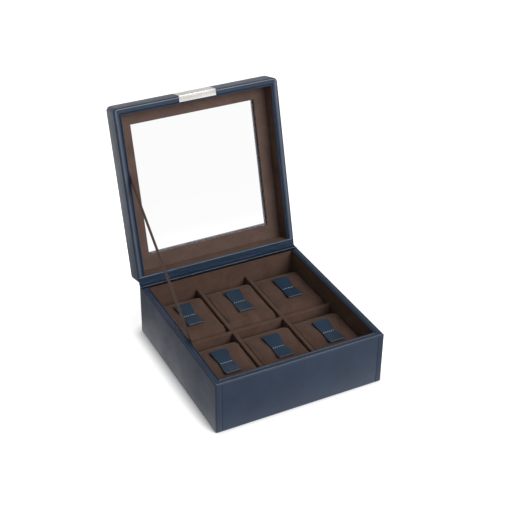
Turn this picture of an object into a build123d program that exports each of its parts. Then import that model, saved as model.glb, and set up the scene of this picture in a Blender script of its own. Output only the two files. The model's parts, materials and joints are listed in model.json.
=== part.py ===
from build123d import *
import math
import os

# A leather-covered watch box: a tray with six pockets, each with a crowned suede cushion and a leather
# strap tab, under a hinged lid with a glass window. The lid stands open, held by a ribbon stay.
# Millimetres, +Z up, origin at the middle of the underside, front at -Y.

# Overall sizes, outside the leather
box_width = 205.0
box_depth = 207.8
hinge_height = 64.8
lid_thickness = 28.4
lid_open_angle = 105.2

# Sheet and board thicknesses
leather = 1.2
board = 6.0
lining = 1.6
floor_board_thickness = 3.6
window_board = 5.8
glass_thickness = 2.5
mat_thickness = 2.0
pad_thickness = 1.5
plate_metal = 1.0
ribbon_thickness = 0.5
hinge_leather = 1.0

# Gaps and clearances
closing_gap = 0.4
leather_above_table = 0.3
seam_gap = 0.3
lap_clearance = 0.1
glass_clearance = 0.2
plate_clearance = 0.2
cushion_side_gap = 1.3
cushion_end_gap = 1.4

# Edge roundings
base_corner = 2.0
base_bottom_edge = 1.4
rim_edge = 0.5
rim_fold = 0.7
lid_corner = 5.5
lid_top_edge = 5.5
window_edge = 0.8

# Leather work on the base
seam_from_corner = 7.5
turn_under = 10.0

# Dividers
divider = 5.0
divider_below_rim = 20.8
divider_top_edge = 1.2

# Window in the lid: its distance from the lid's edges, the mat's set-back and the glass's hold
window_side_border = 25.2
window_front_border = 25.7
window_back_border = 27.5
mat_window_margin = 1.0
glass_overlap = 6.0

# Metal plate folded over the middle of the lid's front edge
plate_width = 46.0
plate_rim_flange = 6.8
plate_front_flange = 19.0
plate_proud = 0.9

# Ribbon stay on the left: where its ends are glued, measured from the hinge line
ribbon_width = 7.5
ribbon_base_reach = 137.9
ribbon_base_drop = 9.5
ribbon_lid_reach = 135.4
ribbon_lid_rise = 8.0

# Cushions: a foam block under wadding and a suede cover, with an arched top and rounded ends
cushion_crown_below_divider = 0.5
cushion_arch = 5.0
cushion_end_bulge = 5.0
cushion_cross_crown = 1.2
cushion_shoulder = 2.6
cushion_corner_taper = 1.6
cushion_slices = [0.0, 0.7, 0.9, 1.0]
wadding = 3.6
side_wadding = 1.8

# Strap tabs
tab_length = 40.5
tab_end_width = 20.5
tab_waist_width = 16.0
tab_leather = 1.4
tab_press = 0.3
tab_corner = 2.5

# Levels and insets that follow from the sizes
wall = leather + board + lining
lining_inset = leather + board
rim_top = hinge_height - closing_gap / 2
board_top = rim_top - leather
board_bottom = pad_thickness
floor_board_top = board_bottom + floor_board_thickness
tray_floor = floor_board_top + lining
divider_top = hinge_height - divider_below_rim
inner_width = box_width - 2 * wall
inner_depth = box_depth - 2 * wall
pocket_width = (inner_width - 2 * divider) / 3
pocket_length = (inner_depth - divider) / 2
pocket_pitch = pocket_width + divider
row_offset = (pocket_length + divider) / 2
lid_rim = hinge_height + closing_gap / 2
lid_board_bottom = lid_rim + leather
lid_top = lid_rim + lid_thickness
glass_bottom = lid_top - leather - window_board
lid_ceiling = glass_bottom - mat_thickness
crown_top = divider_top - cushion_crown_below_divider
hinge_axis = Axis((0, box_depth / 2, hinge_height), (-1, 0, 0))

SIDES = ["front", "right", "back", "left"]
COLUMNS = {"left": -1, "middle": 0, "right": 1}
ROWS = {"front": -1, "rear": 1}

parts = {}


def block(x_range, y_range, z_range):
    """A plain box between two corners."""
    size = [high - low for low, high in (x_range, y_range, z_range)]
    middle = [(high + low) / 2 for low, high in (x_range, y_range, z_range)]
    return Pos(*middle) * Box(*size)


def corners(inset):
    """Corners of the box's outline drawn in by an inset, anticlockwise from front left."""
    x = box_width / 2 - inset
    y = box_depth / 2 - inset
    return [(-x, -y), (x, -y), (x, y), (-x, y)]


def prism(points, low, high):
    """An outline drawn flat and raised from one level to another."""
    return extrude(Pos(0, 0, low) * make_face(Polyline(*points, close=True)), high - low)


def mitred(side, outer, inner, low, high):
    """One of four pieces that run round a frame and meet at mitres."""
    a = SIDES.index(side)
    b = (a + 1) % 4
    return prism([outer[a], outer[b], inner[b], inner[a]], low, high)


def rounded_block(inset, low, high, corner_radius):
    """The box's outline, drawn in by an inset, with rounded upright corners."""
    x = box_width / 2 - inset
    y = box_depth / 2 - inset
    solid = block((-x, x), (-y, y), (low, high))
    return fillet(solid.edges().filter_by(Axis.Z), corner_radius)


def opened(shape):
    """A lid piece, drawn with the lid shut, turned up to where the lid stands open."""
    return shape.rotate(hinge_axis, lid_open_angle)


def level_edges(solid, level):
    """Edges that lie flat at a height."""
    return solid.edges().filter_by(lambda edge: edge.bounding_box().size.Z < 0.01
                                   and abs(edge.center().Z - level) < 0.01)


# Base


def base_boards():
    core = rounded_block(leather, board_bottom, board_top, base_corner - leather)
    hinge_seat = block(
        (-box_width, box_width),
        (box_depth / 2 - wall, box_depth),
        (rim_top - hinge_leather, rim_top),
    )
    for side in SIDES:
        piece = mitred(side, corners(leather), corners(lining_inset), board_bottom, board_top)
        parts[f"base_{side}_board"] = (piece & core) - hinge_seat
    x, y = corners(lining_inset)[2]
    parts["base_floor_board"] = block((-x, x), (-y, y), (board_bottom, floor_board_top))


def base_outer_leather():
    """The base's cover: a front panel, and a wrap round the sides and back that turns the front corners."""
    outside = rounded_block(0, leather_above_table, board_top, base_corner)
    outside = fillet(level_edges(outside, leather_above_table), base_bottom_edge)
    core = rounded_block(leather, board_bottom, board_top, base_corner - leather)
    x, y = corners(turn_under)[2]
    cover = outside - core - block((-x, x), (-y, y), (0, board_bottom))
    panel_half = box_width / 2 - seam_from_corner
    front = (-box_depth / 2, -box_depth / 2 + turn_under)
    panel_zone = block((-panel_half, panel_half), front, (0, hinge_height))
    panel_cut = block((-panel_half - seam_gap, panel_half + seam_gap), front, (0, hinge_height))
    parts["base_front_leather"] = cover & panel_zone
    parts["base_side_leather"] = cover - panel_cut


def rim_strip(low, high, shown, corner_radius):
    """The strip round three rims, folded over at its shown level, open at the back."""
    outside = rounded_block(0, low, high, corner_radius)
    outside = fillet(level_edges(outside, shown), rim_fold)
    x, y = corners(wall)[2]
    strip = outside - block((-x, x), (-y, box_depth), (low, high))
    return strip - block((-box_width, box_width), (y, box_depth), (low, high))


def base_rim_leather():
    parts["base_rim_leather"] = rim_strip(board_top, rim_top, rim_top, base_corner)


def base_linings():
    x, y = corners(lining_inset)[2]
    parts["base_floor_lining"] = block((-x, x), (-y, y), (floor_board_top, tray_floor))
    for side in SIDES:
        top = rim_top - hinge_leather if side == "back" else board_top
        piece = mitred(side, corners(lining_inset), corners(wall), tray_floor, top)
        parts[f"base_{side}_lining"] = piece


def base_pad():
    x, y = corners(turn_under)[2]
    parts["base_pad"] = block((-x, x), (-y, y), (0, pad_thickness))


def divider_plate(length):
    """A suede-covered board along X with a softened top edge, standing on the tray floor."""
    half = divider / 2
    plate = block((-length / 2, length / 2), (-half, half), (tray_floor, divider_top))
    long_edges = level_edges(plate, divider_top).filter_by(Axis.X)
    return fillet(long_edges, divider_top_edge)


def dividers():
    """Two long dividers and a cross divider, halved into each other."""
    half_slot = divider / 2 + lap_clearance
    lap = (tray_floor + divider_top) / 2
    top_slot = block((-half_slot, half_slot), (-divider, divider), (lap, hinge_height))
    long_plate = Rot(0, 0, 90) * (divider_plate(inner_depth) - top_slot)
    cross = divider_plate(inner_width)
    for name, column in (("left", -0.5), ("right", 0.5)):
        x = column * pocket_pitch
        parts[f"divider_{name}"] = Pos(x, 0, 0) * long_plate
        cross -= block((x - half_slot, x + half_slot), (-divider, divider), (0, lap))
    parts["divider_cross"] = cross


# Hinge and stay


def hinge_strip():
    """One leather strip over both back rims, with its fold round the hinge line."""
    near = closing_gap / 2
    far = near + hinge_leather
    leaf = make_face(Polyline((-wall, -near), (0, -near), (0, -far), (-wall, -far), close=True))
    lid_leaf = make_face(Polyline((-wall, near), (0, near), (0, far), (-wall, far), close=True))
    lid_leaf = Rot(0, 0, -lid_open_angle) * lid_leaf
    fold_turn = 180 - lid_open_angle
    fold = Circle(far) - Circle(near)
    reach = 2 * far
    wedge = make_face(
        Polyline(
            (0, 0),
            (0, -reach),
            (reach * math.sin(math.radians(fold_turn / 2)) * 1.3,
             -reach * math.cos(math.radians(fold_turn / 2)) * 1.3),
            (reach * math.sin(math.radians(fold_turn)), -reach * math.cos(math.radians(fold_turn))),
            close=True,
        )
    )
    profile = leaf + lid_leaf + (fold & wedge)
    strip = extrude(Plane.YZ * profile, box_width / 2 - rim_edge, both=True)
    parts["hinge_strip"] = Pos(0, box_depth / 2, hinge_height) * strip


def from_hinge(reach, height):
    """A place in the base, given by its reach forwards from the hinge line and its height over it."""
    return box_depth / 2 - reach, hinge_height + height


def ribbon_stay():
    """A flat ribbon drawn tight between the left walls of the base and the lid."""
    base_y, base_z = from_hinge(ribbon_base_reach, -ribbon_base_drop)
    turn = math.radians(lid_open_angle)
    reach_y = -ribbon_lid_reach * math.cos(turn) + ribbon_lid_rise * math.sin(turn)
    reach_z = ribbon_lid_reach * math.sin(turn) + ribbon_lid_rise * math.cos(turn)
    lid_y = box_depth / 2 + reach_y
    lid_z = hinge_height + reach_z
    length = math.hypot(lid_y - base_y, lid_z - base_z)
    slope = math.degrees(math.atan2(lid_z - base_z, lid_y - base_y))
    x = -inner_width / 2
    strap = block((x, x + ribbon_thickness), (-length / 2, length / 2), (-ribbon_width / 2, ribbon_width / 2))
    strap = Rot(slope, 0, 0) * strap
    parts["ribbon_stay"] = Pos(0, (base_y + lid_y) / 2, (base_z + lid_z) / 2) * strap
    print("ribbon length", round(length, 1))


# Lid, drawn shut and then opened


def window_corners(margin):
    """Corners of the window opening, set out by a margin, anticlockwise from front left."""
    x = box_width / 2 - window_side_border + margin
    front = -box_depth / 2 + window_front_border - margin
    back = box_depth / 2 - window_back_border + margin
    return [(-x, front), (x, front), (x, back), (-x, back)]


def window_block(margin, low, high):
    return prism(window_corners(margin), low, high)


def lid_core():
    """The space inside the lid's outer leather, with its rolled edges."""
    core = rounded_block(leather, lid_board_bottom, lid_top - leather, lid_corner - leather)
    return fillet(level_edges(core, lid_top - leather), lid_top_edge - leather)


def lid_boards(core):
    hinge_seat = block(
        (-box_width, box_width),
        (box_depth / 2 - wall, box_depth),
        (lid_rim, lid_rim + hinge_leather),
    )
    glass_seat = window_block(glass_overlap + glass_clearance, glass_bottom, glass_bottom + glass_thickness)
    window_hole = window_corners(leather)
    for side in SIDES:
        upright = mitred(side, corners(leather), corners(lining_inset), lid_board_bottom, glass_bottom)
        parts[f"lid_{side}_board"] = opened((upright & core) - hinge_seat)
        rail = mitred(side, corners(leather), window_hole, glass_bottom, lid_top - leather)
        parts[f"window_{side}_rail"] = opened((rail & core) - glass_seat)


def lid_outer_leather(core):
    """The lid's cover, rolled over the edges and turned down into the window."""
    outside = rounded_block(0, lid_board_bottom, lid_top, lid_corner)
    outside = fillet(level_edges(outside, lid_top), lid_top_edge)
    collar = window_block(leather, glass_bottom + glass_thickness, lid_top)
    cover = outside - core + collar - window_block(0, lid_board_bottom, lid_top)
    rim_of_window = level_edges(cover, lid_top).sort_by(SortBy.LENGTH)[-8:]
    rim_of_window = rim_of_window.sort_by(lambda edge: abs(edge.center().X) + abs(edge.center().Y))[:4]
    parts["lid_outer_leather"] = opened(fillet(rim_of_window, window_edge))


def lid_rim_leather():
    strip = rim_strip(lid_rim, lid_board_bottom, lid_rim, lid_corner)
    half = plate_width / 2 + plate_clearance
    notch = block(
        (-half, half),
        (-box_depth, -box_depth / 2 + plate_rim_flange + plate_clearance),
        (lid_rim, lid_board_bottom),
    )
    parts["lid_rim_leather"] = opened(strip - notch)


def lid_linings():
    for side in SIDES:
        low = lid_rim + hinge_leather if side == "back" else lid_board_bottom
        piece = mitred(side, corners(lining_inset), corners(wall), low, lid_ceiling)
        parts[f"lid_{side}_lining"] = opened(piece)


def lid_mat():
    """The suede-covered frame that holds the glass from inside."""
    mat = prism(corners(lining_inset), lid_ceiling, glass_bottom)
    mat -= window_block(mat_window_margin, lid_ceiling, glass_bottom)
    parts["lid_mat"] = opened(mat)


def lid_glass():
    pane = window_block(glass_overlap, glass_bottom, glass_bottom + glass_thickness)
    parts["glass_pane"] = opened(pane)


def lid_plate():
    """A metal plate folded over the front edge of the lid."""
    front = -box_depth / 2
    half = plate_width / 2
    flange = block(
        (-half, half), (front - plate_proud, front + plate_rim_flange), (lid_rim, lid_rim + plate_metal)
    )
    face = block((-half, half), (front - plate_proud, front), (lid_rim, lid_rim + plate_front_flange))
    plate = flange + face
    fold = plate.edges().filter_by(Axis.X).sort_by(Axis.Z)[:2].sort_by(Axis.Y)[0]
    parts["lid_plate"] = opened(fillet(fold, plate_proud / 2))


# Cushions


def cushion_section(x, half_length, top, bottom):
    """A lengthwise slice of a cushion: flat base, bulging ends and an arched top."""
    drawn_in = half_length - cushion_end_bulge
    shoulder = top - cushion_arch
    middle = (bottom + shoulder) / 2
    base = Line((-drawn_in, bottom), (drawn_in, bottom))
    rear = ThreePointArc((drawn_in, bottom), (half_length, middle), (drawn_in, shoulder))
    arch = ThreePointArc((drawn_in, shoulder), (0, top), (-drawn_in, shoulder))
    front = ThreePointArc((-drawn_in, shoulder), (-half_length, middle), (-drawn_in, bottom))
    slice_face = make_face([base, rear, arch, front])
    return Plane(origin=(x, 0, 0), x_dir=(0, 1, 0), z_dir=(1, 0, 0)) * slice_face


def cushion_form():
    """A cushion's outside: slices that fall away and draw in towards its long sides."""
    half_width = pocket_width / 2 - cushion_side_gap
    half_length = pocket_length / 2 - cushion_end_gap
    slices = []
    for share in [-share for share in reversed(cushion_slices[1:])] + cushion_slices:
        rounding = share**12
        drop = cushion_cross_crown * share**2 + cushion_shoulder * rounding
        taper = cushion_corner_taper * rounding
        slices.append(cushion_section(share * half_width, half_length - taper, crown_top - drop, tray_floor))
    return loft(slices, ruled=True)


def foam_block():
    """The arched foam block inside a cushion."""
    half_width = pocket_width / 2 - cushion_side_gap - side_wadding
    half_length = pocket_length / 2 - cushion_end_gap - wadding
    profile = cushion_section(0, half_length, crown_top - wadding, tray_floor + side_wadding)
    return extrude(profile, half_width, both=True)


def tab_outline():
    """A strap tab drawn in at its waist."""
    end = tab_end_width / 2
    waist = tab_waist_width / 2
    half = tab_length / 2
    outline = Polyline(
        (-end, -half), (end, -half), (waist, 0), (end, half), (-end, half), (-waist, 0), close=True
    )
    face = make_face(outline)
    outer = [corner for corner in face.vertices() if abs(corner.Y) > half / 2]
    return fillet(outer, tab_corner)


def cushions():
    form = cushion_form()
    foam = foam_block()
    seat = crown_top - tab_press
    tab = extrude(Pos(0, 0, seat) * tab_outline(), tab_leather) - form
    cover = form - foam
    for row, row_sign in ROWS.items():
        for column, column_sign in COLUMNS.items():
            place = Pos(column_sign * pocket_pitch, row_sign * row_offset, 0)
            name = f"{row}_{column}"
            parts[f"cushion_{name}"] = place * cover
            parts[f"foam_{name}"] = place * foam
            parts[f"tab_{name}"] = place * tab


def make_base():
    base_boards()
    base_outer_leather()
    base_rim_leather()
    base_linings()
    base_pad()
    dividers()


def make_lid():
    core = lid_core()
    lid_boards(core)
    lid_outer_leather(core)
    lid_rim_leather()
    lid_linings()
    lid_mat()
    lid_glass()
    lid_plate()


make_base()
hinge_strip()
ribbon_stay()
make_lid()
cushions()

os.makedirs("parts", exist_ok=True)
for name, shape in parts.items():
    export_step(shape, f"parts/{name}.step")
print(len(parts), "parts")
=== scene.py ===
import json
import math

import bmesh
import bpy
from mathutils import Matrix, Vector, noise


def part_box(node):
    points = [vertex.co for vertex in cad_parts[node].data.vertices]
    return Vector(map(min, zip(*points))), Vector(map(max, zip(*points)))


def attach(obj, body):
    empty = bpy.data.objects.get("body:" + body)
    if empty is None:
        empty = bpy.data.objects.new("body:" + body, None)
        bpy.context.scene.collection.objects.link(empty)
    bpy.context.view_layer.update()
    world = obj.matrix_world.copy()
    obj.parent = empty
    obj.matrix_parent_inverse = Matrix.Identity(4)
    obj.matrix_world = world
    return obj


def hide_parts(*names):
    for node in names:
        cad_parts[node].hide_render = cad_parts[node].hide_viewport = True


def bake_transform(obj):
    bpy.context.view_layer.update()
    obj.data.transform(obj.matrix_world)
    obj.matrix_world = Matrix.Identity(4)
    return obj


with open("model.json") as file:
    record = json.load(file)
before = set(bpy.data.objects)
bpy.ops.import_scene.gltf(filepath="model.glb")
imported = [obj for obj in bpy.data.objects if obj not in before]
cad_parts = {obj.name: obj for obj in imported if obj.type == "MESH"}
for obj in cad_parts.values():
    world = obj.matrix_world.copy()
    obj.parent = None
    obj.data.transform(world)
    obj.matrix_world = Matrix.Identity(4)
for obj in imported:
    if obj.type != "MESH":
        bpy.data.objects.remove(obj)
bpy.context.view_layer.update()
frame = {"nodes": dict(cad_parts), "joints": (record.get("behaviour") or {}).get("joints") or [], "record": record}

# Places and sizes shared by the pieces, in metres
lid_joint = next(joint for joint in frame["joints"] if joint["name"] == "lid_hinge")
HINGE = Vector(lid_joint["pos_m"])
OPEN_ANGLE = -math.radians(lid_joint["range_deg"][0])
LID_OPEN = Matrix.Translation(HINGE) @ Matrix.Rotation(-OPEN_ANGLE, 4, "X") @ Matrix.Translation(-HINGE)
HALF_WIDTH, HALF_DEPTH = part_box("base_side_leather")[1][:2]
TRAY_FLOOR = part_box("base_floor_lining")[1].z
WALL = 0.0088
LEATHER = 0.0012
HALF_GAP = 0.0002
PROUD_LIMIT = 0.00014  # how far leather may swell into that gap
RIM = HINGE.z - HALF_GAP
LID_RIM = HINGE.z + HALF_GAP
BASE_CORNER = 0.002
LID_CORNER = 0.0055
PLATE_HALF = 0.0230
PLATE_FLANGE = 0.0068

# How far edges are rounded over
LEATHER_EDGE = 0.00015
PLATE_EDGE = 0.0002
DIVIDER_EDGE = 0.0006
HINGE_EDGE = 0.0003
TAB_EDGE = 0.0004

# The view: where the photograph was taken from, in degrees and metres
VIEW_TURN = (-27.52, 32.57, 0.83)
VIEW_PLACE = (0.00249, 0.10994, 1.3643)
SENSOR = 36
FOCAL_SHARE = 1177 / 520

# Light
KEY_PLACE = (0.64, -1.37, 1.24)
KEY_AIM = (0, 0, 0.08)
KEY_SIZE = 1.3
KEY_POWER = 33.0
SURROUND = 0.22
SURROUND_GLOSS = 0.78
FLOOR_HALF = 6
FLOOR_GLOW = 0.82
CONTACT_REACH = 0.014
CONTACT_DARKNESS = 1.8
# How brightly the floor glows in reflections only, at each distance from the middle of the box: painted reflection,
# dimmed where the open lid's shadow falls on the floor
FLOOR_PAINTED_REFLECTION = [(0.105, 0.95), (0.130, 0.36), (0.165, 0.06), (0.240, 0.10), (0.420, 0.70)]


def take_photo_view():
    """The camera, where the photograph was taken from."""
    azimuth, elevation, roll = (math.radians(angle) for angle in VIEW_TURN)
    back = Vector((
        math.sin(azimuth) * math.cos(elevation),
        -math.cos(azimuth) * math.cos(elevation),
        math.sin(elevation),
    ))
    level = Vector((math.cos(azimuth), math.sin(azimuth), 0))
    upright = back.cross(level)
    right = math.cos(roll) * level + math.sin(roll) * upright
    up = -math.sin(roll) * level + math.cos(roll) * upright
    data = bpy.data.cameras.new("camera")
    data.lens = SENSOR * FOCAL_SHARE
    data.sensor_width = SENSOR
    camera = bpy.data.objects.new("camera", data)
    aside, above, away = VIEW_PLACE
    place = aside * right + above * up + away * back
    camera.matrix_world = Matrix.Translation(place) @ Matrix((right, up, back)).transposed().to_4x4()
    bpy.context.scene.collection.objects.link(camera)
    bpy.context.scene.camera = camera


# Materials


def wire(tree, kind, inputs=None, **settings):
    """Adds a node and gives its inputs a value or another node's output."""
    node = tree.nodes.new(kind)
    for name, value in settings.items():
        setattr(node, name, value)
    for name, value in (inputs or {}).items():
        if isinstance(value, bpy.types.NodeSocket):
            tree.links.new(value, node.inputs[name])
        else:
            node.inputs[name].default_value = value
    return node


def blank_material(name):
    """A new material, its empty tree and the place on the piece that its patterns lie by."""
    material = bpy.data.materials.new(name)
    material.use_nodes = True
    tree = material.node_tree
    tree.nodes.clear()
    return material, tree, wire(tree, "ShaderNodeTexCoord").outputs["Object"]


def show(tree, shader):
    wire(tree, "ShaderNodeOutputMaterial", {"Surface": shader})


def ramp(tree, factor, stops):
    """Colours laid along a factor, each at its place from 0 to 1."""
    node = wire(tree, "ShaderNodeValToRGB", {"Fac": factor})
    elements = node.color_ramp.elements
    while len(elements) < len(stops):
        elements.new(0.5)
    for element, (place, colour) in zip(elements, stops):
        element.position = place
        element.color = (*colour, 1)
    return node.outputs["Color"]


def grain(tree, place, scale, detail=2.0, roughness=0.5, distortion=0.0):
    """Uneven noise from 0 to 1."""
    return wire(tree, "ShaderNodeTexNoise", {
        "Vector": place, "Scale": scale, "Detail": detail, "Roughness": roughness, "Distortion": distortion,
    }).outputs["Fac"]


def between(tree, value, low, high, source=(0.0, 1.0)):
    """A value carried over from its own span to the span from low to high."""
    return wire(tree, "ShaderNodeMapRange", {
        "Value": value, "From Min": source[0], "From Max": source[1], "To Min": low, "To Max": high,
    }).outputs["Result"]


def raised(tree, height, distance, strength=1.0, under=None):
    """Fine relief, on top of the relief under it."""
    inputs = {"Height": height, "Distance": distance, "Strength": strength}
    if under is not None:
        inputs["Normal"] = under
    return wire(tree, "ShaderNodeBump", inputs).outputs["Normal"]


def multiplied(tree, share, first, second):
    return wire(tree, "ShaderNodeMix", {0: share, 6: first, 7: second}, data_type="RGBA",
                blend_type="MULTIPLY").outputs[2]


def tinted(colour, share):
    return tuple(min(channel * share, 1.0) for channel in colour)


def leather(name, colour, pebble=0.00011, gloss=0.42, pebble_scale=900.0, shine=0.33):
    """Dyed leather: soft waves, a pebbled grain with fine pores, uneven dye, and a painted highlight mixed in where
    vertices carry one.
    """
    material, tree, place = blank_material(name)
    dye = grain(tree, place, 28.0, 5.0, 0.62)
    cells = wire(tree, "ShaderNodeTexVoronoi", {"Vector": place, "Scale": pebble_scale, "Randomness": 0.95},
                 feature="SMOOTH_F1").outputs["Distance"]
    pores = grain(tree, place, 2600.0, 2.0, 0.6)
    colour_out = ramp(tree, dye, [
        (0.28, tinted(colour, 0.80)), (0.52, colour), (0.78, tinted(colour, 1.24)),
    ])
    creases = ramp(tree, cells, [(0.0, (1.06, 1.06, 1.06)), (0.62, (1.0, 1.0, 1.0)), (0.9, (0.74, 0.74, 0.76))])
    shade = multiplied(tree, 1.0, colour_out, creases)
    # Painted highlight: vertices that carry it are mixed toward a pale colour that stands in for lamp light on
    # rounded edges
    painted_highlight = wire(tree, "ShaderNodeAttribute", attribute_name="painted_highlight")
    dyed_and_highlighted = wire(tree, "ShaderNodeMix", {
        0: painted_highlight.outputs["Fac"], 6: shade, 7: (*PAINTED_HIGHLIGHT_COLOUR, 1.0),
    }, data_type="RGBA")
    waves = raised(tree, grain(tree, place, 42.0, 2.0), 0.0004, 0.35)
    pebbled = raised(tree, cells, pebble, 0.8, waves)
    porous = raised(tree, pores, 0.00005, 0.6, pebbled)
    skin = wire(tree, "ShaderNodeBsdfPrincipled", {
        "Base Color": dyed_and_highlighted.outputs[2],
        "Roughness": between(tree, dye, gloss + 0.07, gloss - 0.06, (0.3, 0.75)),
        "Specular IOR Level": shine,
        "Specular Tint": (*COOL_GLOSS, 1.0),
        "Normal": porous,
    })
    show(tree, skin.outputs[0])
    return material


def suede(name, colour, nap=1.0):
    """Micro-suede: a short nap brushed lighter and darker, with a soft sheen."""
    material, tree, place = blank_material(name)
    stretch = wire(tree, "ShaderNodeMapping", {
        "Vector": place, "Scale": (1.0, 0.55, 1.0), "Rotation": (0.2, 0.1, 0.6),
    })
    brushed = grain(tree, stretch.outputs[0], 34.0, 6.0, 0.66, 0.7)
    fibres = grain(tree, place, 1500.0, 3.0, 0.7)
    clumps = grain(tree, place, 420.0, 2.0, 0.6, 0.4)
    shade = ramp(tree, brushed, [
        (0.30, tinted(colour, 0.80)), (0.50, colour), (0.72, tinted(colour, 1.22)),
    ])
    fleck = multiplied(tree, 0.55, shade, ramp(tree, fibres, [(0.3, (0.62, 0.62, 0.62)), (0.7, (1.3, 1.3, 1.3))]))
    soft = raised(tree, clumps, 0.00025, 0.5 * nap)
    fuzzy = raised(tree, fibres, 0.00016, 0.7 * nap, soft)
    cloth = wire(tree, "ShaderNodeBsdfPrincipled", {
        "Base Color": fleck,
        "Roughness": 0.96,
        "Specular IOR Level": 0.03,
        "Sheen Weight": 0.17,
        "Sheen Roughness": 0.45,
        "Sheen Tint": (*WARM_SHEEN, 1.0),
        "Normal": fuzzy,
    })
    show(tree, cloth.outputs[0])
    return material


def grosgrain(name, colour):
    """Ribbon yarn: matt, with fine flecks a little lighter and darker."""
    material, tree, place = blank_material(name)
    yarn = grain(tree, place, 1900.0, 3.0, 0.65)
    shade = ramp(tree, yarn, [(0.3, tinted(colour, 0.72)), (0.7, tinted(colour, 1.3))])
    fuzz = raised(tree, yarn, 0.00006, 0.7)
    cloth = wire(tree, "ShaderNodeBsdfPrincipled", {
        "Base Color": shade, "Roughness": 0.8, "Specular IOR Level": 0.1, "Sheen Weight": 0.12, "Normal": fuzz,
    })
    show(tree, cloth.outputs[0])
    return material


def sewing_thread(name, colour):
    """Bonded polyester thread with a fine twist."""
    material, tree, place = blank_material(name)
    turned = wire(tree, "ShaderNodeMapping", {"Vector": place, "Rotation": (0.5, 0.4, 0.7)})
    twist = wire(tree, "ShaderNodeTexWave", {"Vector": turned.outputs[0], "Scale": 900.0, "Distortion": 0.5})
    shade = ramp(tree, twist.outputs["Fac"], [(0.2, tinted(colour, 0.7)), (0.8, colour)])
    ply = raised(tree, twist.outputs["Fac"], 0.00005, 0.6)
    strand = wire(tree, "ShaderNodeBsdfPrincipled", {
        "Base Color": shade, "Roughness": 0.5, "Sheen Weight": 0.1, "Normal": ply,
    })
    show(tree, strand.outputs[0])
    return material


def polished_plate(name, colour):
    """Plated steel, polished over a fine lengthwise brush."""
    material, tree, place = blank_material(name)
    drawn = wire(tree, "ShaderNodeMapping", {"Vector": place, "Scale": (14.0, 900.0, 900.0)})
    brush = grain(tree, drawn.outputs[0], 3.0, 4.0, 0.7)
    cloud = grain(tree, place, 60.0, 3.0)
    shade = ramp(tree, cloud, [(0.3, tinted(colour, 0.9)), (0.7, tinted(colour, 1.06))])
    scored = raised(tree, brush, 0.00002, 0.35)
    metal = wire(tree, "ShaderNodeBsdfPrincipled", {
        "Base Color": shade,
        "Metallic": 1.0,
        "Roughness": between(tree, brush, 0.2, 0.34),
        "Normal": scored,
    })
    show(tree, metal.outputs[0])
    return material


def window_glass(name):
    """Clear float glass that lets lamps through, with faint smears in its gloss."""
    material, tree, place = blank_material(name)
    smears = grain(tree, place, 18.0, 3.0)
    clear = wire(tree, "ShaderNodeBsdfPrincipled", {
        "Base Color": (0.972, 0.972, 0.978, 1.0),
        "Roughness": between(tree, smears, 0.0, 0.03),
        "IOR": 1.45,
        "Transmission Weight": 1.0,
    })
    lamp_path = wire(tree, "ShaderNodeBsdfTransparent", {"Color": (0.95, 0.96, 0.96, 1.0)})
    light = wire(tree, "ShaderNodeLightPath")
    pane = wire(tree, "ShaderNodeMixShader", {
        0: light.outputs["Is Shadow Ray"], 1: clear.outputs[0], 2: lamp_path.outputs[0],
    })
    show(tree, pane.outputs[0])
    return material


def pressed_board(name, colour):
    """Fibreboard: fine flecks in pressed layers."""
    material, tree, place = blank_material(name)
    flecks = grain(tree, place, 600.0, 4.0, 0.7)
    shade = ramp(tree, flecks, [(0.3, tinted(colour, 0.75)), (0.7, tinted(colour, 1.15))])
    face = wire(tree, "ShaderNodeBsdfPrincipled", {
        "Base Color": shade, "Roughness": 0.85, "Normal": raised(tree, flecks, 0.0001, 0.4),
    })
    show(tree, face.outputs[0])
    return material


def felt(name, colour):
    """Pressed felt: tangled fibres, quite matt."""
    material, tree, place = blank_material(name)
    fibres = grain(tree, place, 900.0, 5.0, 0.75, 1.2)
    shade = ramp(tree, fibres, [(0.3, tinted(colour, 0.55)), (0.7, tinted(colour, 1.6))])
    cloth = wire(tree, "ShaderNodeBsdfPrincipled", {
        "Base Color": shade, "Roughness": 1.0, "Specular IOR Level": 0.1, "Sheen Weight": 0.15,
        "Normal": raised(tree, fibres, 0.0003, 0.7),
    })
    show(tree, cloth.outputs[0])
    return material


# Colours and finishes
# The pale colour of the painted highlight lines along leather edges
PAINTED_HIGHLIGHT_COLOUR = (0.29, 0.33, 0.39)
COOL_GLOSS = (0.93, 0.965, 1.0)
WARM_SHEEN = (0.75, 0.58, 0.48)
NAVY = (0.0150, 0.0272, 0.0545)
HINGE_NAVY = (0.0095, 0.0245, 0.0520)
TAB_NAVY = (0.0100, 0.0270, 0.0540)
BROWN = (0.106, 0.064, 0.049)
# A lighter, greyer copy of the suede for the lid's mat and front lining, which face the lamp: partly their own nap,
# partly painted light
LID_BROWN_PAINTED_LIGHTER = (0.128, 0.085, 0.071)
EDGE_BLACK = (0.003, 0.004, 0.009)

navy_leather = leather("navy leather", NAVY)
rim_finish = leather("navy rim leather", NAVY, shine=0.27)
# The lid's outer leather: the same navy painted lighter, standing in for its brighter reflection, and with more real
# shine
lid_leather_painted_lighter = leather("navy lid leather", tinted(NAVY, 1.15), gloss=0.40, shine=0.45)
hinge_leather = leather("hinge leather", HINGE_NAVY, 0.00014, 0.40, 700.0, 0.25)
tab_leather = leather("tab leather", TAB_NAVY, 0.00006, 0.46, 1300.0, 0.25)
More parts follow.
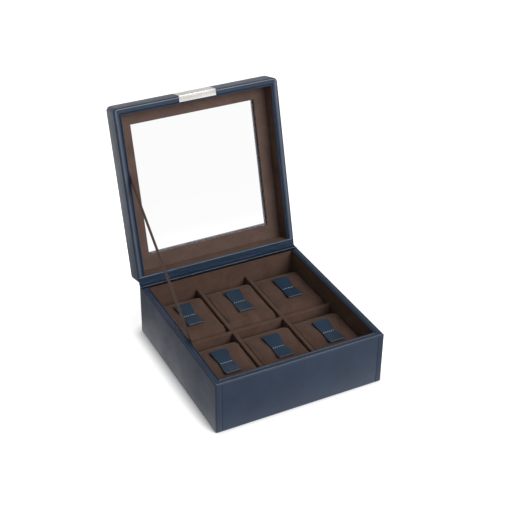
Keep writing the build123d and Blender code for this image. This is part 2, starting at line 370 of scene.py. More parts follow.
# Near-black leather edge paint: the tabs' own painted edges, and on the hinge strip a band that is painted shadow
edge_paint_and_painted_shadow = leather("painted leather edge", EDGE_BLACK, 0.00003, 0.45, 900.0, 0.07)
brown_suede = suede("brown suede", BROWN)
lid_suede_painted_lighter = suede("lid suede", LID_BROWN_PAINTED_LIGHTER)
cushion_suede = suede("cushion suede", tinted(BROWN, 0.97), 1.2)
ribbon_cloth = grosgrain("brown grosgrain", (0.140, 0.087, 0.068))
thread = sewing_thread("pale blue thread", (0.60, 0.63, 0.68))
plate_metal = polished_plate("polished plate", (0.55, 0.535, 0.515))

SLOT_FINISH = {
    "navy_leather": navy_leather,
    "tab_leather": tab_leather,
    "brown_suede": brown_suede,
    "ribbon": ribbon_cloth,
    "board": pressed_board("fibreboard", (0.42, 0.30, 0.18)),
    "foam": felt("foam", (0.6, 0.56, 0.45)),
    "glass": window_glass("window glass"),
    "plate_metal": plate_metal,
    "pad": felt("black felt", (0.018, 0.018, 0.02)),
}


def finish_cad_nodes():
    """Each CAD node gets the finish that its material slot stands for, and the lid's mat and front lining a lighter
    copy of the suede, partly their own nap and partly painted light.
    """
    for part in frame["record"]["subparts"]:
        painted_lighter = part["node"] in ("lid_mat", "lid_front_lining")
        for material_slot in frame["nodes"][part["node"]].material_slots:
            material_slot.material = lid_suede_painted_lighter if painted_lighter else SLOT_FINISH[part["material_slot"]]


# Meshes


def new_piece(name, mesh, *materials):
    piece = bpy.data.objects.new(name, mesh)
    bpy.context.scene.collection.objects.link(piece)
    for material in materials:
        mesh.materials.append(material)
    return piece


def smooth(mesh, sharp_angle=None):
    """Smooth shading, broken where the surface turns past an angle."""
    mesh.polygons.foreach_set("use_smooth", [True] * len(mesh.polygons))
    if sharp_angle:
        mesh.set_sharp_from_angle(angle=math.radians(sharp_angle))


def plain_result(piece):
    """The piece's mesh with its modifiers worked in and taken off."""
    bpy.context.view_layer.update()
    graph = bpy.context.evaluated_depsgraph_get()
    mesh = bpy.data.meshes.new_from_object(piece.evaluated_get(graph))
    piece.modifiers.clear()
    piece.data = mesh
    return piece


def round_edges(piece, width, segments, from_angle, sharp_angle):
    """Rounds the edges that turn past one angle, then shades smooth all that turns less than another."""
    bevel = piece.modifiers.new("edge", "BEVEL")
    bevel.width = width
    bevel.segments = segments
    bevel.limit_method = "ANGLE"
    bevel.angle_limit = math.radians(from_angle)
    plain_result(piece)
    smooth(piece.data, sharp_angle)


def as_mesh(work, name):
    """A worked-out form as a named mesh, its faces turned outward."""
    bmesh.ops.recalc_face_normals(work, faces=work.faces)
    mesh = bpy.data.meshes.new(name)
    work.to_mesh(mesh)
    work.free()
    return mesh


def skinned(work, rings):
    """Faces between closed rings of points and over both ends. The ones between come back row by row."""
    rows = []
    for first, second in zip(rings, rings[1:]):
        corners = list(zip(first, first[1:] + first[:1], second[1:] + second[:1], second))
        rows.append([work.faces.new(quad) for quad in corners])
    work.faces.new(rings[0])
    work.faces.new(rings[-1][::-1])
    return rows


def hump(place, middle, spread):
    """A smooth rise that is 1 at its middle and falls away over its spread."""
    return math.exp(-(((place - middle) / spread) ** 2))


def softened(node, body, edge, material):
    """A copy of a CAD node with its edges rounded over, as leather or metal edges are."""
    mesh = frame["nodes"][node].data.copy()
    mesh.materials.clear()
    work = bmesh.new()
    work.from_mesh(mesh)
    bmesh.ops.remove_doubles(work, verts=work.verts, dist=2e-6)
    bmesh.ops.dissolve_limit(work, angle_limit=math.radians(0.5), verts=work.verts, edges=work.edges)
    work.to_mesh(mesh)
    work.free()
    if mesh.attributes.get("custom_normal"):
        mesh.attributes.remove(mesh.attributes["custom_normal"])
    piece = new_piece(f"{node}_finished", mesh, material)
    round_edges(piece, edge, 3, 40, 35)
    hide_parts(node)
    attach(piece, body)


# Stitches and ribbon, laid along a line by Geometry Nodes

STITCH_PITCH = 0.0024
STITCH_LENGTH = 0.0016
THREAD = 0.0006
RIBBON_WIDTH = 0.0075
RIBBON_BODY = 0.0004
RIB_PITCH = 0.00095
RIB_THICKNESS_SHARE = 1.45  # of the ribbon's body
RIB_BREADTH_SHARE = 0.86  # of the pitch

# The ribbon's route, from the glued end in the base to the one in the lid
RIBBON_ROUTE = [
    (-0.0934, -0.03400, 0.05530),
    (-0.0934, 0.01128, 0.08982),
    (-0.0933, 0.05656, 0.12434),
    (-0.0934, 0.10184, 0.15885),
    (-0.0934, 0.14712, 0.19337),
]


def empty_tree(name, line, sizes, finish):
    """A modifier tree with its inputs: a line, some sizes, the way it faces and a finish."""
    tree = bpy.data.node_groups.new(name, "GeometryNodeTree")
    tree.is_modifier = True
    sockets = tree.interface
    sockets.new_socket(line, in_out="INPUT", socket_type="NodeSocketGeometry")
    for label in sizes:
        sockets.new_socket(label, in_out="INPUT", socket_type="NodeSocketFloat")
    sockets.new_socket("Facing", in_out="INPUT", socket_type="NodeSocketVector")
    sockets.new_socket(finish, in_out="INPUT", socket_type="NodeSocketMaterial")
    sockets.new_socket("Made", in_out="OUTPUT", socket_type="NodeSocketGeometry")
    return tree, tree.nodes.new("NodeGroupInput").outputs


def stitch_tree():
    """Stitches along a line: one bead of thread at each step, facing up from the leather."""
    tree, given = empty_tree("sewn stitches", "Seam", ("Pitch", "Stitch length", "Thread"), "Thread finish")
    run = wire(tree, "GeometryNodeMeshToCurve", {"Mesh": given["Seam"]})
    steps = wire(tree, "GeometryNodeResampleCurve", {"Curve": run.outputs[0], "Length": given["Pitch"]},
                 mode="LENGTH")
    bead = wire(tree, "GeometryNodeMeshUVSphere", {"Segments": 8, "Rings": 6, "Radius": 0.5})
    along = wire(tree, "GeometryNodeInputTangent")
    aim = wire(tree, "FunctionNodeAxesToRotation", {
        "Primary Axis": given["Facing"], "Secondary Axis": along.outputs[0],
    }, primary_axis="Z", secondary_axis="X")
    unevenness = wire(tree, "FunctionNodeRandomValue", {"Min": 0.9, "Max": 1.06, "Seed": 7}, data_type="FLOAT")
    uneven_length = wire(tree, "ShaderNodeMath", {0: given["Stitch length"]}, operation="MULTIPLY")
    tree.links.new(next(s for s in unevenness.outputs if s.enabled and s.type == "VALUE"), uneven_length.inputs[1])
    size = wire(tree, "ShaderNodeCombineXYZ", {
        "X": uneven_length.outputs[0], "Y": given["Thread"], "Z": given["Thread"],
    })
    laid = wire(tree, "GeometryNodeInstanceOnPoints", {
        "Points": steps.outputs[0], "Instance": bead.outputs["Mesh"],
        "Rotation": aim.outputs[0], "Scale": size.outputs[0],
    })
    real = wire(tree, "GeometryNodeRealizeInstances", {0: laid.outputs[0]})
    rounded = wire(tree, "GeometryNodeSetShadeSmooth", {0: real.outputs[0]})
    coloured = wire(tree, "GeometryNodeSetMaterial", {
        "Geometry": rounded.outputs[0], "Material": given["Thread finish"],
    })
    wire(tree, "NodeGroupOutput", {0: coloured.outputs[0]})
    return tree


def ribbon_tree():
    """A flat band along a route, with a rib across it at each step."""
    tree, given = empty_tree("ribbed ribbon", "Route", ("Width", "Body", "Rib pitch"), "Cloth")
    run = wire(tree, "GeometryNodeMeshToCurve", {"Mesh": given["Route"]})
    steps = wire(tree, "GeometryNodeResampleCurve", {"Curve": run.outputs[0], "Length": given["Rib pitch"]},
                 mode="LENGTH")
    level = wire(tree, "GeometryNodeSetCurveNormal", {0: steps.outputs[0]}, mode="Z_UP")
    strip = wire(tree, "GeometryNodeCurvePrimitiveQuadrilateral", {"Width": given["Body"], "Height": given["Width"]})
    band = wire(tree, "GeometryNodeCurveToMesh", {
        "Curve": level.outputs[0], "Profile Curve": strip.outputs[0], "Fill Caps": True,
    })
    rib = wire(tree, "GeometryNodeMeshCylinder", {"Vertices": 10, "Side Segments": 1, "Radius": 0.5, "Depth": 1.0})
    along = wire(tree, "GeometryNodeInputTangent")
    across = wire(tree, "ShaderNodeVectorMath", {0: along.outputs[0], 1: given["Facing"]}, operation="CROSS_PRODUCT")
    aim = wire(tree, "FunctionNodeAxesToRotation", {
        "Primary Axis": across.outputs[0], "Secondary Axis": given["Facing"],
    }, primary_axis="Z", secondary_axis="X")
    thick = wire(tree, "ShaderNodeMath", {0: given["Body"], 1: RIB_THICKNESS_SHARE}, operation="MULTIPLY")
    broad = wire(tree, "ShaderNodeMath", {0: given["Rib pitch"], 1: RIB_BREADTH_SHARE}, operation="MULTIPLY")
    size = wire(tree, "ShaderNodeCombineXYZ", {
        "X": thick.outputs[0], "Y": broad.outputs[0], "Z": given["Width"],
    })
    laid = wire(tree, "GeometryNodeInstanceOnPoints", {
        "Points": steps.outputs[0], "Instance": rib.outputs["Mesh"], "Rotation": aim.outputs[0],
        "Scale": size.outputs[0],
    })
    real = wire(tree, "GeometryNodeRealizeInstances", {0: laid.outputs[0]})
    both = wire(tree, "GeometryNodeJoinGeometry")
    tree.links.new(band.outputs[0], both.inputs[0])
    tree.links.new(real.outputs[0], both.inputs[0])
    coloured = wire(tree, "GeometryNodeSetMaterial", {"Geometry": both.outputs[0], "Material": given["Cloth"]})
    wire(tree, "NodeGroupOutput", {0: coloured.outputs[0]})
    return tree


def laid_out(name, run, tree, **values):
    """A plain mesh that a tree makes along a run of points."""
    mesh = bpy.data.meshes.new(name)
    mesh.from_pydata([tuple(point) for point in run], [(step, step + 1) for step in range(len(run) - 1)], [])
    piece = new_piece(name, mesh)
    modifier = piece.modifiers.new("made", "NODES")
    modifier.node_group = tree
    for item in tree.interface.items_tree:
        label = item.name.lower().replace(" ", "_")
        if item.in_out == "INPUT" and label in values:
            modifier[item.identifier] = values[label]
    return plain_result(piece)


def ribbon_stay():
    """The ribbed ribbon that holds the lid, drawn tight between the left walls."""
    line = bpy.data.curves.new("ribbon route", "CURVE")
    line.dimensions = "3D"
    spline = line.splines.new("NURBS")
    spline.points.add(len(RIBBON_ROUTE) - 1)
    for point, place in zip(spline.points, RIBBON_ROUTE):
        point.co = (*place, 1)
    spline.order_u = 3
    spline.use_endpoint_u = True
    guide = bpy.data.objects.new("ribbon route", line)
    bpy.context.scene.collection.objects.link(guide)
    bpy.context.view_layer.update()
    graph = bpy.context.evaluated_depsgraph_get()
    route_mesh = bpy.data.meshes.new_from_object(guide.evaluated_get(graph))
    route = [vertex.co.copy() for vertex in route_mesh.vertices]
    bpy.data.objects.remove(guide)
    piece = laid_out(
        "ribbon", route, ribbon_tree(), width=RIBBON_WIDTH, body=RIBBON_BODY, rib_pitch=RIB_PITCH,
        facing=(1.0, 0.0, 0.0), cloth=ribbon_cloth,
    )
    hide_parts("ribbon_stay")
    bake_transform(piece)


def sew(name, run, body, tree):
    """A row of stitches along a run, on leather that faces up."""
    piece = laid_out(
        name, run, tree, pitch=STITCH_PITCH, stitch_length=STITCH_LENGTH, thread=THREAD,
        facing=(0, 0, 1), thread_finish=thread,
    )
    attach(piece, body)


# Leather work

RIM_STEPS = 24  # along each side
RIM_TURN_STEPS = 6  # round each front corner
LEAST_TURN = 0.0003
FRONT_STATIONS = [
    -0.089, -0.080, -0.068, -0.055, -0.042, -0.030, -PLATE_HALF - 0.0003, -PLATE_HALF - 0.0001, -0.012, 0.0,
]
RIM_CRINKLE = 0.00007
PLATE_ROOM = 0.0002
UNDER_PLATE = LEATHER - 0.0001
SHOWN_DEPTH = LEATHER - 0.0002

# The rim strip across its width: each feature's place from the outer edge, and how far it goes down or up
ROLL_FRONT, ROLL_SIDE_EXTRA, ROLL_FALL = 0.0020, 0.0008, 0.0011
RIDGE_PLACE, RIDGE_SPREAD, RIDGE_RISE = 0.0019, 0.00045, 0.00012
GROOVE_PLACE, GROOVE_SPREAD, GROOVE_FALL = 0.0070, 0.00050, 0.00100
BEAD_PLACE, BEAD_WIDTH, BEAD_FALL = 0.0077, 0.0011, 0.0009

# The hinge strip
HINGE_LEATHER = 0.001
HINGE_STEP = 0.0004
HINGE_TURN_STEPS = 8
HINGE_STATIONS = 230
HINGE_END_GAP = 0.0005
SHADOW_BAND_STEPS = 7  # from its front edge, across the band of dark edge paint that is painted shadow between the ridge's highlight and the edge
BASE_FOLD, BASE_FOLD_SPREAD = 0.0036, 0.00033
LID_FOLD, LID_FOLD_SPREAD = 0.0009, 0.0004
FOLD_RISE = 0.00028
CRINKLE, FINE_CRINKLE = 0.00016, 0.00010
GLUED_FLAT = 0.003  # the strip is pressed flatter up to here


def rim_path(inset, corner):
    """Places along three rims at an inset, from the back of the left one to the back of the right one."""
    bend = max(corner - inset, LEAST_TURN)
    x, y = HALF_WIDTH - inset, HALF_DEPTH - inset
    back = HALF_DEPTH - WALL
    side = [(-x, back + (bend - y - back) * step / RIM_STEPS) for step in range(RIM_STEPS + 1)]
    turn = [math.pi / 2 * step / RIM_TURN_STEPS for step in range(1, RIM_TURN_STEPS)]
    bent = [(-x + bend * (1 - math.cos(angle)), -y + bend * (1 - math.sin(angle))) for angle in turn]
    half = side + bent + [(-x + bend, -y)] + [(place, -y) for place in FRONT_STATIONS]
    return half + [(-across, along) for across, along in reversed(half[:-1])]


def rim_depth(inset, side_share):
    """How far the rim strip lies under its top level: rolled outer edge, turned-in fold, groove and inner bead."""
    rolled = ROLL_FRONT + ROLL_SIDE_EXTRA * side_share
    depth = 0.0
    if inset < rolled:
        depth += ROLL_FALL * (1 - math.sqrt(1 - (1 - inset / rolled) ** 2))
    if inset > BEAD_PLACE:
        depth += BEAD_FALL * (1 - math.sqrt(max(1 - ((inset - BEAD_PLACE) / BEAD_WIDTH) ** 2, 0)))
    depth -= RIDGE_RISE * hump(inset, RIDGE_PLACE, RIDGE_SPREAD)
    depth += GROOVE_FALL * hump(inset, GROOVE_PLACE, GROOVE_SPREAD)
    return depth


RIM_INSETS = [
    0.0, 0.0001, 0.0003, 0.0006, 0.0009, 0.0012, 0.0015, 0.0017, 0.0019, 0.0021, 0.0023, 0.0026, 0.0030, 0.0040,
    0.0052, 0.0060, 0.0064, 0.0067, 0.0070, 0.0073, 0.0076, 0.0079, 0.0082, 0.0085, 0.0087,
]


def rim_outline(side_share):
    """The rim strip's outline across its width, as inset and depth: rounder outside along the sides."""
    shown = [(inset, rim_depth(inset, side_share)) for inset in RIM_INSETS]
    return [(0.0, LEATHER)] + shown + [(WALL, LEATHER), (WALL / 2, LEATHER)]


def rim_painted_highlight(body, inset, side_share):
    """How strong the painted highlight is across the rim: a pale line along the lid's edge and along the base's
    front, fainter along the sides.
    """
    if body == "lid":
        line = hump(inset, 0.0016 + 0.0016 * side_share, 0.0004 + 0.0008 * side_share)
        return (1.15 - 0.60 * side_share) * line
    return (1.0 - 0.80 * side_share) * hump(inset, 0.0015, 0.0004)


def rim_leather(node, body, level, way, corner, under_plate):
    """One leather strip folded over the front, left and right rims."""
    stations = len(rim_path(0.0, corner))
    work = bmesh.new()
    painted_highlight = work.verts.layers.float.new("painted_highlight")
    rings = []
    for station in range(stations):
        from_end = min(station, stations - 1 - station)
        share = min(max((RIM_STEPS + 4 - from_end) / 6, 0.0), 1.0)
        ring = []
        for inset, depth in rim_outline(share):
            x, y = rim_path(inset, corner)[station]
            if under_plate and abs(x) < PLATE_HALF + PLATE_ROOM and y < 0 and inset < PLATE_FLANGE + PLATE_ROOM:
                depth = max(depth, UNDER_PLATE)
            elif depth < LEATHER:
                depth = max(depth + RIM_CRINKLE * noise.noise(Vector((x * 70, y * 70, inset * 300))), -PROUD_LIMIT)
            vertex = work.verts.new((x, y, level - way * depth))
            # Painted highlight along the rim's rounded edge, uneven along its length
            if depth < SHOWN_DEPTH:
                uneven = 0.52 + 0.2 * noise.noise(Vector((x * 90, y * 90, 2.0)))
                vertex[painted_highlight] = uneven * rim_painted_highlight(body, inset, share)
            ring.append(vertex)
        rings.append(ring)
    skinned(work, rings)
    mesh = as_mesh(work, f"{node}_finished")
    if body == "lid":
        mesh.transform(LID_OPEN)
    piece = new_piece(f"{node}_finished", mesh, rim_finish)
    smooth(mesh, 45)
    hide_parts(node)
    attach(piece, body)


def hinge_profile():
    """The hinge strip's outline across its fold, about the hinge line: the shown side, then the glued side."""
    near, far = HALF_GAP, HALF_GAP + HINGE_LEATHER
    fold = math.pi - OPEN_ANGLE
    lid_way = Vector((0, -math.cos(OPEN_ANGLE), math.sin(OPEN_ANGLE)))
    lid_side = Vector((0, math.sin(OPEN_ANGLE), math.cos(OPEN_ANGLE)))
    steps = round(WALL / HINGE_STEP)
    inner, outer = [], []
    for step in range(steps):
        reach = WALL * (1 - step / steps)
        inner.append(Vector((0, -reach, -near)))
        outer.append(Vector((0, -reach, -far)))
    for step in range(HINGE_TURN_STEPS + 1):
        turn = -math.pi / 2 + fold * step / HINGE_TURN_STEPS
        ray = Vector((0, math.cos(turn), math.sin(turn)))
        inner.append(ray * near)
        outer.append(ray * far)
    for step in range(1, steps + 1):
        reach = WALL * step / steps
        inner.append(lid_way * reach + lid_side * near)
        outer.append(lid_way * reach + lid_side * far)
    return inner, outer


def hinge_strip():
    """One leather strip glued over both back rims, that bends where they meet."""
    inner, outer = hinge_profile()
    outline = inner + outer[::-1]
    half = HALF_WIDTH - HINGE_END_GAP
    work = bmesh.new()
    painted_highlight = work.verts.layers.float.new("painted_highlight")
    rings = []
    count = len(inner)
    for station in range(HINGE_STATIONS + 1):
        x = -half + 2 * half * station / HINGE_STATIONS
        ring = []
        for index, point in enumerate(outline):
            place = HINGE + Vector((x, point.y, point.z))
            highlight_share = 0.0
            if index < count:
                run = index * HINGE_STEP
                crinkle = CRINKLE * noise.noise(Vector((x * 75, run * 400, 3.1)))
                crinkle += FINE_CRINKLE * noise.noise(Vector((x * 240, run * 900, 7.7)))
                base_fold = hump(run, BASE_FOLD, BASE_FOLD_SPREAD)
                lid_fold = hump((count - 1 - index) * HINGE_STEP, LID_FOLD, LID_FOLD_SPREAD)
                crinkle = crinkle - 0.00014 if run >= GLUED_FLAT else crinkle * 0.25 - 0.0001
                normal = (inner[index] - outer[index]).normalized()
                place += normal * min(crinkle + FOLD_RISE * (base_fold + lid_fold), PROUD_LIMIT)
                # Painted highlight along both fold ridges, uneven along the strip
                uneven = 0.8 + 0.4 * noise.noise(Vector((x * 90, 1.0, 5.0)))
                highlight_share = (1.1 * base_fold + 0.75 * lid_fold) * uneven
            vertex = work.verts.new(place)
            vertex[painted_highlight] = highlight_share
            ring.append(vertex)
        rings.append(ring)
    # The band beside the base leaf's front edge takes the dark edge paint as painted shadow; the last face of each
    # row is that leaf's cut edge
    for row in skinned(work, rings):
        for face in row[:SHADOW_BAND_STEPS] + row[-1:]:
            face.material_index = 1
    piece = new_piece("hinge_leather", as_mesh(work, "hinge_leather"), hinge_leather, edge_paint_and_painted_shadow)
    round_edges(piece, HINGE_EDGE, 2, 60, 50)
    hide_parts("hinge_strip")
    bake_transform(piece)


# Cushions and their tabs

CUSHIONS = [f"{row}_{column}" for row in ("front", "rear") for column in ("left", "middle", "right")]
CUSHION_LEAN = 0.0009
CUSHION_SLACK = 0.0001
CUSHION_EDGE = 0.0010
CUSHION_GRID = 0.0025
CUSHION_SETTLE = 0.0002
CROSS_FALL = 0.0001
MOST_SWELL = 0.0008
SWELL_FRAMES = 20
LUMPS = 0.0006
# The dent that the tab's stitches pull: its depth, its spread along the cushion, its half width and soft ends
PULL, PULL_SPREAD, PULL_HALF_WIDTH, PULL_ENDS = 0.0011, 0.0042, 0.0095, 0.0014
# How far the cover falls at each end, from which distance off the middle, over what run, and how fast
REAR_FALL = (0.0115, 0.025, 0.020, 1.7)
FRONT_FALL = (0.0080, 0.029, 0.016, 2.0)
SIDE_SPARE, END_SPARE = 0.0002, 0.0006


def rounded_box_mesh(name, half, radius, step):
    """A closed box of even quads, with all its edges rounded and a closer row beside each."""
    work = bmesh.new()
    lines = []
    for reach in half:
        flat = reach - radius
        count = max(2, round(2 * flat / step))
        edge = [reach, reach - 0.5 * radius]
        inside = [flat - 2 * flat * number / count for number in range(count + 1)]
        lines.append([-place for place in edge + inside] + edge[::-1])
    cuts = [len(places) - 1 for places in lines]
    found = {}

    def corner(i, j, k):
        if (i, j, k) not in found:
            point = Vector((lines[0][i], lines[1][j], lines[2][k]))
            core = Vector(tuple(max(-(h - radius), min(h - radius, c)) for h, c in zip(half, point)))
            away = point - core
            found[i, j, k] = work.verts.new(core + away.normalized() * radius if away.length > 1e-9 else point)
        return found[i, j, k]

    for i in range(cuts[0]):
        for j in range(cuts[1]):
            for k in (0, cuts[2]):
                work.faces.new((corner(i, j, k), corner(i + 1, j, k), corner(i + 1, j + 1, k), corner(i, j + 1, k)))
    for i in range(cuts[0]):
        for k in range(cuts[2]):
            for j in (0, cuts[1]):
                work.faces.new((corner(i, j, k), corner(i + 1, j, k), corner(i + 1, j, k + 1), corner(i, j, k + 1)))
    for j in range(cuts[1]):
        for k in range(cuts[2]):
            for i in (0, cuts[0]):
                work.faces.new((corner(i, j, k), corner(i, j + 1, k), corner(i, j + 1, k + 1), corner(i, j, k + 1)))
    return as_mesh(work, name)


def cushion_piece(name, seed):
    """One cushion: an arched suede pillow that its stuffing swells, pulled in under its tab."""
    low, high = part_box(f"cushion_{name}")
    if not name.endswith("left"):
        low.x -= CUSHION_LEAN
    middle = (low + high) / 2
    half = (high - low) / 2 - Vector((CUSHION_SLACK, CUSHION_SLACK, 0))
    mesh = rounded_box_mesh(f"cushion_{name}_suede", half, CUSHION_EDGE, CUSHION_GRID)
    for vertex in mesh.vertices:
        over = vertex.co.x / half.x
        lift = (vertex.co.z + half.z) / (2 * half.z)
        depth, clear, run, power = REAR_FALL if vertex.co.y > 0 else FRONT_FALL
        fall = depth * (max(abs(vertex.co.y) - clear, 0) / run) ** power
        vertex.co.z -= (fall + CROSS_FALL * over ** 2) * lift
        vertex.co += middle
        vertex.co.z -= CUSHION_SETTLE * lift
    piece = new_piece(f"cushion_{name}_suede", mesh, cushion_suede)
    swell(piece)
    shape_cushion(piece, low, high, seed)
    smooth(piece.data)
    finer = piece.modifiers.new("finer", "SUBSURF")
    finer.levels = 1
    finer.render_levels = 1
    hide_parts(f"cushion_{name}", f"foam_{name}")
    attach(piece, f"cushion_{name}")


def swell(piece):
    """Cloth under a light inside pressure, then fixed as it stands."""
    before = [vertex.co.copy() for vertex in piece.data.vertices]
    cloth = piece.modifiers.new("stuffed", "CLOTH")
    settings = cloth.settings
    settings.quality = 5
    settings.mass = 0.15
    settings.use_pressure = True
    settings.uniform_pressure_force = 4.0
    settings.tension_stiffness = 15
    settings.compression_stiffness = 15
    settings.shear_stiffness = 5
    settings.bending_stiffness = 0.5
    settings.effector_weights.gravity = 0
    cloth.point_cache.frame_start = 1
    cloth.point_cache.frame_end = SWELL_FRAMES
    scene = bpy.context.scene
    for step in range(1, SWELL_FRAMES + 1):
        scene.frame_set(step)
    plain_result(piece)
    scene.frame_set(1)
    for vertex, old in zip(piece.data.vertices, before):
        move = vertex.co - old
        if move.length > MOST_SWELL:
            vertex.co = old + move.normalized() * MOST_SWELL


def shape_cushion(piece, low, high, seed):
    """Uneven stuffing, the pull of the tab's stitches, and a flat seat on the tray floor."""
    middle = (low + high) / 2
    for vertex in piece.data.vertices:
        place = vertex.co
        lift = max(0.0, (place.z - middle.z) / (high.z - middle.z))
        place.z += lift * LUMPS * noise.noise(Vector((place.x * 38, place.y * 30, seed * 5.3)))
        along = place.y - middle.y
        over = abs(place.x - middle.x)
        pull = hump(along, 0, PULL_SPREAD) / (1 + math.exp((over - PULL_HALF_WIDTH) / PULL_ENDS))
        place.z -= PULL * pull * lift
        place.x = min(max(place.x, low.x), high.x + SIDE_SPARE)
        place.y = min(max(place.y, low.y - END_SPARE), high.y + END_SPARE)
        place.z = max(place.z, TRAY_FLOOR)


# How far each tab's front and rear ends stand up
TAB_LIFTS = {
    "front_left": (0.0020, 0.0026), "front_middle": (0.0018, 0.0024), "front_right": (0.0020, 0.0022),
    "rear_left": (0.0023, 0.0024), "rear_middle": (0.0017, 0.0028), "rear_right": (0.0022, 0.0023),
}
TAB_HALF_LENGTH = 0.02025
TAB_END = 0.01025
TAB_WAIST = 0.0080
TAB_LEATHER = 0.0022
TAB_CORNER = 0.0026
TAB_SINK = 0.0006
TAB_COLUMNS = 10
TAB_SIDE_FALL = 0.00018
LEAST_HALF_WIDTH = 0.0002
WAIST_NOTCH, WAIST_NOTCH_SPREAD = 0.0007, 0.0012
WAIST_PINCH, WAIST_PINCH_SPREAD = 0.00045, 0.0011
# Painted highlight on the top of each tab's front end: how far back it reaches and how strong it is
TAB_HIGHLIGHT_REACH, TAB_HIGHLIGHT = 0.0004, 0.4
STITCH_MARGIN = 0.0018
STITCH_SINK = 0.0003


def tab_half_width(along):
    """Half the tab's width at a distance from its waist."""
    away = abs(along)
    width = TAB_WAIST + (TAB_END - TAB_WAIST) * away / TAB_HALF_LENGTH
    width -= WAIST_NOTCH * hump(away, 0, WAIST_NOTCH_SPREAD)
    past = away - (TAB_HALF_LENGTH - TAB_CORNER)
    if past > 0:
        width -= TAB_CORNER - math.sqrt(max(TAB_CORNER ** 2 - past ** 2, 0))
    return width


def tab_rows():
    """Places along a tab: even steps, closer ones round its corners and the closest at its waist."""
    even = {round(-TAB_HALF_LENGTH + 2 * TAB_HALF_LENGTH * step / 40, 6) for step in range(41)}
    corner = {round(TAB_HALF_LENGTH - TAB_CORNER * (1 - math.sin(math.pi / 2 * step / 6)), 6) for step in range(7)}
    waist = {0.0005 * step for step in range(5)}
    return sorted(even | {side * place for side in (-1, 1) for place in corner | waist})


def strap_tab(name, tree):
    """A bow-tie strap tab, sewn down across its waist so that both ends stand up a little."""
    low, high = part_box(f"tab_{name}")
    middle = (low + high) / 2
    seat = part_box(f"cushion_{name}")[1].z - TAB_SINK
    front_lift, rear_lift = TAB_LIFTS[name]
    rows = tab_rows()
    columns = TAB_COLUMNS
    work = bmesh.new()
    painted_highlight = work.verts.layers.float.new("painted_highlight")
    layers = []
    for thickness in (0.0, TAB_LEATHER):
        layer = []
        for along in rows:
            away = abs(along) / TAB_HALF_LENGTH
            lift = (front_lift if along < 0 else rear_lift) * away ** 1.6
            pinch = WAIST_PINCH * hump(along, 0, WAIST_PINCH_SPREAD)
            width = max(tab_half_width(along), LEAST_HALF_WIDTH)
            line = []
            for column in range(columns + 1):
                across = -1 + 2 * column / columns
                z = seat + lift + thickness
                if thickness:
                    z = z - pinch - TAB_SIDE_FALL * across * across * away
                vertex = work.verts.new((middle.x + across * width, middle.y + along, z))
                # Painted highlight along the top of the front end
                if thickness and along < TAB_HIGHLIGHT_REACH - TAB_HALF_LENGTH:
                    vertex[painted_highlight] = TAB_HIGHLIGHT
                line.append(vertex)
            layer.append(line)
        layers.append(layer)
    under, over = layers
    last = len(rows) - 1
    turns_over = ((0, 0), (0, 1), (1, 1), (1, 0))
    for row in range(last):
        for column in range(columns):
            work.faces.new([over[row + down][column + aside] for down, aside in turns_over])
            work.faces.new([under[row + down][column + aside] for aside, down in turns_over])
    rim = [(row, 0) for row in range(last, 0, -1)] + [(0, column) for column in range(columns)]
    rim += [(row, columns) for row in range(last)] + [(last, column) for column in range(columns, 0, -1)]
    for (row, column), (next_row, next_column) in zip(rim, rim[1:] + rim[:1]):
        side = work.faces.new((
            under[row][column], under[next_row][next_column], over[next_row][next_column], over[row][column],
        ))
        side.material_index = 1
    piece = new_piece(f"tab_{name}_leather", as_mesh(work, f"tab_{name}_leather"), tab_leather, edge_paint_and_painted_shadow)
    round_edges(piece, TAB_EDGE, 3, 50, 45)
    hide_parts(f"tab_{name}")
    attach(piece, f"cushion_{name}")
    reach = TAB_WAIST - STITCH_MARGIN
    top = seat + TAB_LEATHER - STITCH_SINK
    run = [(middle.x - reach, middle.y, top), (middle.x + reach, middle.y, top)]
    sew(f"tab_{name}_stitches", run, f"cushion_{name}", tree)


# Stage


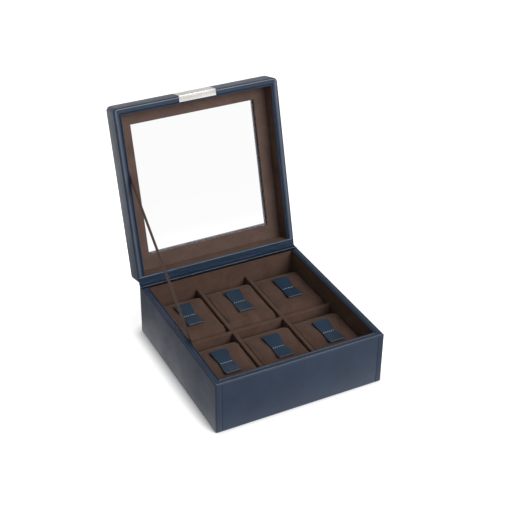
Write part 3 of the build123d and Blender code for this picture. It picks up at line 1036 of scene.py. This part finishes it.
def set_stage():
    """A white floor that keeps the box's shadow, a pale surround and a soft lamp in front and to the right."""
    material, tree, place = blank_material("white floor")
    light = wire(tree, "ShaderNodeLightPath")
    paper = wire(tree, "ShaderNodeBsdfDiffuse", {"Color": (0.9, 0.9, 0.9, 1)})
    near_box = wire(tree, "ShaderNodeAmbientOcclusion", {"Distance": CONTACT_REACH}, samples=8)
    open_share = wire(tree, "ShaderNodeMath", {0: near_box.outputs["AO"], 1: CONTACT_DARKNESS}, operation="POWER")
    away = wire(tree, "ShaderNodeVectorMath", {0: place}, operation="ABSOLUTE")
    sides = wire(tree, "ShaderNodeSeparateXYZ", {0: away.outputs[0]})
    reach = wire(tree, "ShaderNodeMath", {0: sides.outputs[0], 1: sides.outputs[1]}, operation="MAXIMUM")
    sweep = ramp(tree, reach.outputs[0], [(distance, (share,) * 3) for distance, share in FLOOR_PAINTED_REFLECTION])
    # Painted reflection: a glow seen only by reflected rays, set by distance from the box
    shiny = wire(tree, "ShaderNodeMath", {0: light.outputs["Is Glossy Ray"], 1: sweep}, operation="MULTIPLY")
    seen = wire(tree, "ShaderNodeMath", {0: light.outputs["Is Camera Ray"], 1: FLOOR_GLOW}, operation="MULTIPLY")
    strength = wire(tree, "ShaderNodeMath", {
        0: seen.outputs[0], 1: open_share.outputs[0], 2: shiny.outputs[0],
    }, operation="MULTIPLY_ADD")
    glow = wire(tree, "ShaderNodeEmission", {"Color": (1, 1, 1, 1), "Strength": strength.outputs[0]})
    both = wire(tree, "ShaderNodeAddShader", {0: paper.outputs[0], 1: glow.outputs[0]})
    white = wire(tree, "ShaderNodeEmission", {"Color": (1, 1, 1, 1), "Strength": 1.0})
    behind_glass = wire(tree, "ShaderNodeMixShader", {
        0: light.outputs["Is Transmission Ray"], 1: both.outputs[0], 2: white.outputs[0],
    })
    show(tree, behind_glass.outputs[0])
    mesh = bpy.data.meshes.new("floor")
    corners = [(x * FLOOR_HALF, y * FLOOR_HALF, 0) for x, y in ((-1, -1), (1, -1), (1, 1), (-1, 1))]
    mesh.from_pydata(corners, [], [(0, 1, 2, 3)])
    floor = new_piece("floor", mesh, material)

    world = bpy.data.worlds.new("surround")
    bpy.context.scene.world = world
    world.use_nodes = True
    tree = world.node_tree
    tree.nodes.clear()
    light = wire(tree, "ShaderNodeLightPath")
    seen = wire(tree, "ShaderNodeMath", {
        0: light.outputs["Is Camera Ray"], 1: light.outputs["Is Transmission Ray"],
    }, operation="MAXIMUM")
    shiny = wire(tree, "ShaderNodeMath", {0: light.outputs["Is Glossy Ray"], 1: SURROUND_GLOSS}, operation="MULTIPLY")
    most = wire(tree, "ShaderNodeMath", {0: seen.outputs[0], 1: shiny.outputs[0]}, operation="MAXIMUM")
    strength = wire(tree, "ShaderNodeMath", {0: most.outputs[0], 1: SURROUND}, operation="MAXIMUM")
    sky = wire(tree, "ShaderNodeBackground", {"Color": (1, 1, 1, 1), "Strength": strength.outputs[0]})
    wire(tree, "ShaderNodeOutputWorld", {"Surface": sky.outputs[0]})

    data = bpy.data.lights.new("key lamp", "AREA")
    data.size = KEY_SIZE
    data.energy = KEY_POWER
    lamp = bpy.data.objects.new("key lamp", data)
    lamp.location = KEY_PLACE
    lamp.rotation_euler = (Vector(KEY_AIM) - Vector(KEY_PLACE)).to_track_quat("-Z", "Y").to_euler()
    bpy.context.scene.collection.objects.link(lamp)
    bpy.context.scene.view_settings.view_transform = "Standard"


def finish_box():
    """The box's leather, plate and dividers, with their edges rounded, and the folded rims."""
    softened("base_front_leather", "base", LEATHER_EDGE, navy_leather)
    softened("base_side_leather", "base", LEATHER_EDGE, navy_leather)
    softened("lid_outer_leather", "lid", LEATHER_EDGE, lid_leather_painted_lighter)
    softened("lid_plate", "lid", PLATE_EDGE, plate_metal)
    for divider in ("divider_left", "divider_right", "divider_cross"):
        softened(divider, "base", DIVIDER_EDGE, brown_suede)
    rim_leather("base_rim_leather", "base", RIM, 1, BASE_CORNER, False)
    rim_leather("lid_rim_leather", "lid", LID_RIM, -1, LID_CORNER, True)


take_photo_view()
ribbon_stay()
finish_cad_nodes()
finish_box()
hinge_strip()
stitches = stitch_tree()
for seed, name in enumerate(CUSHIONS):
    cushion_piece(name, seed)
    strap_tab(name, stitches)
set_stage()
